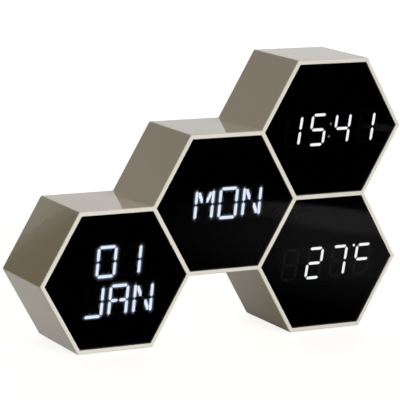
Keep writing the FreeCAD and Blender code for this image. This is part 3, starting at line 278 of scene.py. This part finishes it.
class Shader(Nodes):
    """A short way to build one procedural material."""

    def __init__(self, name):
        self.material = bpy.data.materials.new(name)
        self.material.use_nodes = True
        super().__init__(self.material.node_tree)
        self.surface = self.tree.nodes["Principled BSDF"]

    def set(self, **values):
        """Fixed values for the surface's sockets, named with underscores for spaces."""
        for socket, value in values.items():
            self.surface.inputs[socket.replace("_", " ")].default_value = value

    def drive(self, socket, output):
        self.link(output, self.surface.inputs[socket])

    def noise(self, scale, detail=3.0, roughness=0.5):
        noise = self.node("ShaderNodeTexNoise", Scale=scale, Detail=detail, Roughness=roughness)
        self.link(self.place(), noise.inputs["Vector"])
        return noise.outputs["Fac"]

    def blend(self, factor, first, second):
        """A blend of two colours, of which the first may be a linked one."""
        node = self.node("ShaderNodeMix", data_type="RGBA")
        if isinstance(first, bpy.types.NodeSocket):
            self.link(first, node.inputs[6])
        else:
            node.inputs[6].default_value = first
        node.inputs[7].default_value = second
        self.link(factor, node.inputs[0])
        return node.outputs[2]

    def shade(self, factor, shades):
        """A blend of two display colours."""
        return self.blend(factor, *(srgb(*shade) for shade in shades))

    def roughen(self, scale, least, most, detail=3.0):
        """Uneven gloss: a roughness that drifts between a least and a most."""
        self.drive("Roughness", self.spread(self.noise(scale, detail), least, most))

    def bump(self, height, strength, distance, socket="Normal"):
        node = self.node("ShaderNodeBump", Strength=strength, Distance=distance)
        self.link(height, node.inputs["Height"])
        self.drive(socket, node.outputs["Normal"])


def plastic(name, light, dark, roughness, grain, bump, gloss):
    """Moulded plastic: a slight drift of colour, uneven gloss and a fine skin."""
    shader = Shader(name)
    shader.set(Specular_IOR_Level=gloss)
    shader.drive("Base Color", shader.shade(shader.noise(scale=35.0, detail=4.0), (light, dark)))
    shader.roughen(120.0, *(share * roughness for share in PLASTIC_UNEVEN))
    shader.bump(shader.noise(grain, detail=2.0), strength=bump, distance=0.0002)
    return shader


def metal(name, colour, roughness):
    """Plated or drawn metal with fine handling marks."""
    shader = Shader(name)
    shader.set(Base_Color=srgb(*colour), Metallic=1.0)
    shader.roughen(400.0, *(share * roughness for share in METAL_UNEVEN))
    shader.bump(shader.noise(scale=1500.0), strength=0.1, distance=0.0001)
    return shader


def make_lacquer():
    """The casing: warm grey under a clear glossy coat with a very slight orange peel."""
    shader = Shader("warm_grey_lacquer")
    shader.set(Specular_IOR_Level=0.0, Coat_Weight=1.0, Coat_Roughness=COAT_ROUGHNESS)
    shader.drive("Base Color", shader.shade(shader.noise(scale=28.0, detail=5.0), LACQUER_SHADES))
    shader.roughen(150.0, *LACQUER_ROUGHNESS)
    shader.bump(shader.noise(scale=1400.0, detail=2.0), strength=0.12, distance=0.0002)
    peel = shader.noise(scale=260.0, detail=1.0)
    shader.bump(peel, strength=0.02, distance=0.0004, socket="Coat Normal")
    return shader


def make_texture_moulding():
    """The back cover: the casing's colour, a little darker, in a spark-eroded texture."""
    shader = Shader("textured_moulding")
    speckle = shader.noise(scale=1100.0, detail=4.0, roughness=0.7)
    shader.drive("Base Color", shader.shade(speckle, COVER_SHADES))
    shader.drive("Roughness", shader.spread(speckle, *COVER_ROUGHNESS))
    shader.bump(speckle, strength=0.5, distance=0.0003)
    return shader


def make_lens_material():
    """Smoked black acrylic: polished, with faint wiping marks."""
    shader = Shader("smoked_lens")
    shader.set(Base_Color=srgb(*LENS_COLOUR), Alpha=LENS_ALPHA, Specular_IOR_Level=LENS_GLOSS)
    shader.roughen(60.0, *LENS_ROUGHNESS, detail=4.0)
    return shader


def glow(name, colour, strength):
    """A lit segment behind the smoked lens: its diffuser is a little dimmer in places."""
    shader = Shader(name)
    shader.set(Base_Color=srgb(*SEGMENT_COLOUR), Emission_Strength=strength)
    full = srgb(*colour)
    dimmed = [GLOW_DIMMED * channel for channel in full[:3]] + [1.0]
    shader.drive("Emission Color", shader.blend(shader.noise(scale=300.0), full, dimmed))
    return shader


def make_unlit_material():
    """Milky segments that aren't lit; those at the lower right get a faint painted glow in place of
    light they catch.
    """
    shader = plastic(*PLASTICS["segment_dark"])
    # Painted light: the unlit segments at the lower right glow faintly white
    shader.set(Emission_Color=WHITE)
    x, _, z = shader.split(shader.place())
    right = shader.spread(x, 0.0, UNLIT_PAINTED_GLOW, *UNLIT_SIDES)
    low = shader.spread(z, 1.0, 0.0, *UNLIT_RISE)
    shader.drive("Emission Strength", shader.math("MULTIPLY", right, low))
    return shader


def make_halo_material():
    """Black display front where light bleeds round the lit segments."""
    shader = Shader("halo")
    shader.set(Base_Color=srgb(*DISPLAY_BLACK), Roughness=HALO_ROUGHNESS, Specular_IOR_Level=0.0)
    shader.set(Emission_Color=srgb(*HALO_GLOW))
    bleed = shader.node("ShaderNodeAttribute", attribute_name="bleed").outputs["Fac"]
    shader.drive("Emission Strength", shader.spread(bleed, 0.0, HALO_STRENGTH))
    return shader


def make_battery_material():
    """Plain wrapped cells: a dark sleeve, a copper band near one tip and bare metal ends.

    The middle one of the three cells lies the other way round.
    """
    shader = Shader("battery_sleeve")
    low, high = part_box("battery_cells")
    middle = (Vector(low) + Vector(high)) / 2
    x, _, z = shader.split(shader.place())
    along = shader.math("SUBTRACT", x, middle.x)
    reach = shader.math("ABSOLUTE", along, 0.0)
    row = shader.math("ABSOLUTE", shader.math("SUBTRACT", z, middle.z), 0.0)
    turned = shader.math("LESS_THAN", row, BATTERY_RADIUS)
    way = shader.math("ADD", shader.math("MULTIPLY", turned, -2.0), 1.0)
    band = shader.math("GREATER_THAN", shader.math("MULTIPLY", along, way), BATTERY_BAND)
    bare = shader.math("GREATER_THAN", reach, BATTERY_SLEEVE)
    sleeve = shader.shade(shader.noise(scale=500.0), BATTERY_SHADES)
    wrapped = shader.blend(band, sleeve, srgb(*BATTERY_BAND_COLOUR))
    shader.drive("Base Color", shader.blend(bare, wrapped, srgb(*BATTERY_TIP_COLOUR)))
    coppery = shader.math("MULTIPLY", band, BATTERY_BAND_METALLIC)
    shader.drive("Metallic", shader.math("MAXIMUM", bare, coppery))
    shader.roughen(200.0, *BATTERY_ROUGHNESS)
    return shader


def make_shaders():
    """One material for each slot of the record."""
    shaders = {slot: plastic(*row) for slot, row in PLASTICS.items() if slot != "segment_dark"}
    shaders.update({slot: metal(*row) for slot, row in METALS.items()})
    shaders.update({
        "housing": make_lacquer(),
        "cover": make_texture_moulding(),
        "lens": make_lens_material(),
        "segment_lit": glow("lit_numeral", NUMERAL_GLOW, NUMERAL_STRENGTH),
        "segment_dim": glow("dim_colon", COLON_GLOW, COLON_STRENGTH),
        "segment_dark": make_unlit_material(),
        "battery": make_battery_material(),
    })
    return shaders


def dress_nodes():
    """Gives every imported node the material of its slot, and the letters their own glow."""
    shaders = make_shaders()
    slots = {part["node"]: part["material_slot"] for part in frame["record"]["subparts"]}
    for name, item in frame["nodes"].items():
        item.data.materials.clear()
        item.data.materials.append(shaders[slots[name]].material)
    letter = glow("lit_letter", LETTER_GLOW, LETTER_STRENGTH).material
    for cell in LETTER_CELLS:
        frame["nodes"][f"{cell}_lit_segments"].data.materials[0] = letter


def add_halo_front(shape, low, high, lit):
    """A fine grid across a block's front that carries how near each spot is to a lit segment."""
    tree = BVHTree.FromPolygons([vertex.co for vertex in lit.vertices],
                                [polygon.vertices for polygon in lit.polygons])
    bleed = shape.verts.layers.float.new("bleed")
    front = low[1] + HALO_SINK
    columns = math.ceil((high[0] - low[0]) / HALO_GRID)
    rows = math.ceil((high[2] - low[2]) / HALO_GRID)
    grid = []
    for row in range(rows + 1):
        z = low[2] + (high[2] - low[2]) * row / rows
        line = []
        for column in range(columns + 1):
            vertex = shape.verts.new((low[0] + (high[0] - low[0]) * column / columns, front, z))
            inside = min(vertex.co.x - low[0], high[0] - vertex.co.x, z - low[2], high[2] - z)
            fade = min(1.0, inside / HALO_FADE)
            vertex[bleed] = fade * math.exp(-tree.find_nearest(vertex.co)[3] / HALO_REACH)
            line.append(vertex)
        grid.append(line)
    for upper, lower in zip(grid[1:], grid):
        for column in range(columns):
            shape.faces.new((lower[column], lower[column + 1], upper[column + 1], upper[column]))
    return bleed


def close_block(shape, back, bleed):
    """Carries the grid's rim back to the block's back face and fills that in, with no bleed there."""
    rim = [edge for edge in shape.edges if edge.is_boundary]
    for item in bmesh.ops.extrude_edge_only(shape, edges=rim)["geom"]:
        if isinstance(item, bmesh.types.BMVert):
            item.co.y = back
            item[bleed] = 0.0
    bmesh.ops.holes_fill(shape, edges=[edge for edge in shape.edges if edge.is_boundary])
    bmesh.ops.recalc_face_normals(shape, faces=shape.faces)


def make_halo_blocks():
    """Display blocks for the cells with letters, where light bleeds round the lit segments."""
    material = make_halo_material().material
    for cell in LETTER_CELLS:
        low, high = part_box(f"{cell}_display_block")
        shape = bmesh.new()
        bleed = add_halo_front(shape, low, high, frame["nodes"][f"{cell}_lit_segments"].data)
        close_block(shape, high[1], bleed)
        mesh = bpy.data.meshes.new(f"{cell}_halo_block")
        shape.to_mesh(mesh)
        shape.free()
        mesh.materials.append(material)
        block = bpy.data.objects.new(f"{cell}_halo_block", mesh)
        bpy.context.scene.collection.objects.link(block)
        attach(block, "clock")
        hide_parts(f"{cell}_display_block")


def make_floor():
    """A pale floor that the camera sees as white. Gloss sees a painted glow on it: bright behind the
    clock with painted shadow near its foot, and dark ahead but for painted reflections.
    """
    bpy.ops.mesh.primitive_plane_add(size=FLOOR_SIZE, location=(0, 0, 0))
    floor = bpy.context.object
    floor.name = "floor"
    shader = Shader("pale_floor")
    shader.set(Base_Color=srgb(*FLOOR_COLOUR), Roughness=FLOOR_ROUGHNESS, Emission_Color=WHITE)
    path = shader.node("ShaderNodeLightPath").outputs
    seen = shader.math("MAXIMUM", path["Is Camera Ray"], path["Is Transmission Ray"])
    shader.drive("Emission Strength", shader.math("MULTIPLY", seen, FLOOR_GLOW))

    # Painted for gloss only: brightness behind the clock, with painted shadow near its foot, deepest
    # at the right, and dark ahead
    place = shader.place()
    x, y, _ = shader.split(place)
    left = shader.spread(y, *FLOOR_LEFT, *FLOOR_DEPTH)
    right = shader.spread(y, *FLOOR_RIGHT, *FLOOR_DEPTH)
    across = shader.spread(x, 0.0, 1.0, *FLOOR_SIDES)
    change = shader.math("MULTIPLY", across, shader.math("SUBTRACT", right, left))
    under = shader.spread(y, 0.0, 1.0, HOUSING_FRONT - FLOOR_TURN, HOUSING_FRONT)
    behind = shader.math("MULTIPLY", shader.math("ADD", left, change), under)
    # Painted reflections ahead of the clock, which the lenses show as sheen and a small glint
    patch = shader.disc(place, PATCH_PLACE, PATCH_RADIUS, PATCH_BLUR)
    fade = shader.spread(shader.distance(place, PATCH_CORE), PATCH_STRENGTH, 0.0, *PATCH_FADE)
    spot = shader.disc(place, SPOT_PLACE, SPOT_RADIUS, SPOT_BLUR, SPOT_STRENGTH)
    ahead = shader.math("MULTIPLY", patch, shader.math("ADD", fade, spot))
    glint = shader.disc(place, GLINT_PLACE, GLINT_RADIUS, GLINT_BLUR, GLINT_STRENGTH)
    total = shader.math("ADD", shader.math("MAXIMUM", behind, ahead), glint)

    # The painted glow that only gloss rays see, carrying the painted shadow and the painted
    # reflections
    gloss_only_painted_glow = shader.node("ShaderNodeEmission", Color=FLOOR_TINT)
    shader.link(total, gloss_only_painted_glow.inputs["Strength"])
    shader.choose(path["Is Glossy Ray"], shader.surface, gloss_only_painted_glow, "Material Output")
    floor.data.materials.append(shader.material)


def make_world():
    """Dim warm light from all round, which the camera sees as white and gloss as a backdrop."""
    world = bpy.data.worlds.new("studio")
    bpy.context.scene.world = world
    world.use_nodes = True
    nodes = Nodes(world.node_tree)
    ambient = nodes.tree.nodes["Background"]
    ambient.inputs["Color"].default_value = WORLD_TINT
    ambient.inputs["Strength"].default_value = WORLD_STRENGTH
    white = nodes.node("ShaderNodeBackground", Color=WHITE)
    path = nodes.node("ShaderNodeLightPath").outputs
    plain = nodes.math("MAXIMUM", path["Is Camera Ray"], path["Is Transmission Ray"])

    x, y, z = nodes.split(nodes.node("ShaderNodeTexCoord").outputs["Generated"])
    height = nodes.spread(z, BACKDROP_LOW, BACKDROP_HIGH, *BACKDROP_RISE)
    beyond = nodes.spread(nodes.math("DIVIDE", x, y), 1.0, 0.0, *BACKDROP_EDGE)
    behind = nodes.math("GREATER_THAN", y, 0.0)
    below = nodes.spread(z, 1.0, 0.0, *BACKDROP_EDGE_TOP)
    dark = nodes.math("MULTIPLY", nodes.math("MULTIPLY", beyond, behind), below)
    backdrop = nodes.math("MULTIPLY", height, nodes.spread(dark, 1.0, 0.0))
    nodes.link(nodes.math("MAXIMUM", plain, backdrop), white.inputs["Strength"])
    shown = nodes.math("MAXIMUM", plain, path["Is Glossy Ray"])
    nodes.choose(shown, ambient, white, "World Output")


def make_lights():
    """Square lamps that gloss doesn't show: one in front, one high behind and one low behind."""
    for name, place, aim, size, spread, power, tint in LAMPS:
        data = bpy.data.lights.new(name, "AREA")
        data.shape = "SQUARE"
        data.size = size
        data.spread = math.radians(spread)
        data.energy = power
        data.color = tint
        lamp = bpy.data.objects.new(name, data)
        lamp.location = place
        lamp.rotation_euler = (Vector(aim) - Vector(place)).to_track_quat("-Z", "Y").to_euler()
        lamp.visible_glossy = False
        bpy.context.scene.collection.objects.link(lamp)


def make_camera():
    """The photograph's camera. Back points from its target to it, and it is rolled about that."""
    azimuth, elevation = math.radians(CAMERA_AZIMUTH), math.radians(CAMERA_ELEVATION)
    back = Vector((
        math.sin(azimuth) * math.cos(elevation),
        -math.cos(azimuth) * math.cos(elevation),
        math.sin(elevation),
    ))
    right = Vector((0, 0, 1)).cross(back).normalized()
    up = back.cross(right)
    roll = math.radians(CAMERA_ROLL)
    rolled_right = right * math.cos(roll) + up * math.sin(roll)
    rolled_up = up * math.cos(roll) - right * math.sin(roll)
    target = DAY_CENTRE + Vector(CAMERA_TARGET) * CELL_SIDE
    data = bpy.data.cameras.new("camera")
    data.sensor_fit = "AUTO"
    data.sensor_width = SENSOR_MM
    data.lens = FOCAL_PIXELS / FRAME_PIXELS * SENSOR_MM
    data.clip_start, data.clip_end = CAMERA_CLIP
    camera = bpy.data.objects.new("camera", data)
    bpy.context.scene.collection.objects.link(camera)
    turn = Matrix((rolled_right, rolled_up, back)).transposed().to_4x4()
    camera.matrix_world = Matrix.Translation(target + back * CAMERA_DISTANCE * CELL_SIDE) @ turn
    bpy.context.scene.camera = camera


make_camera()
dress_nodes()
make_halo_blocks()
make_floor()
make_world()
make_lights()

bpy.context.scene.view_settings.view_transform = "Standard"
bpy.context.view_layer.update()
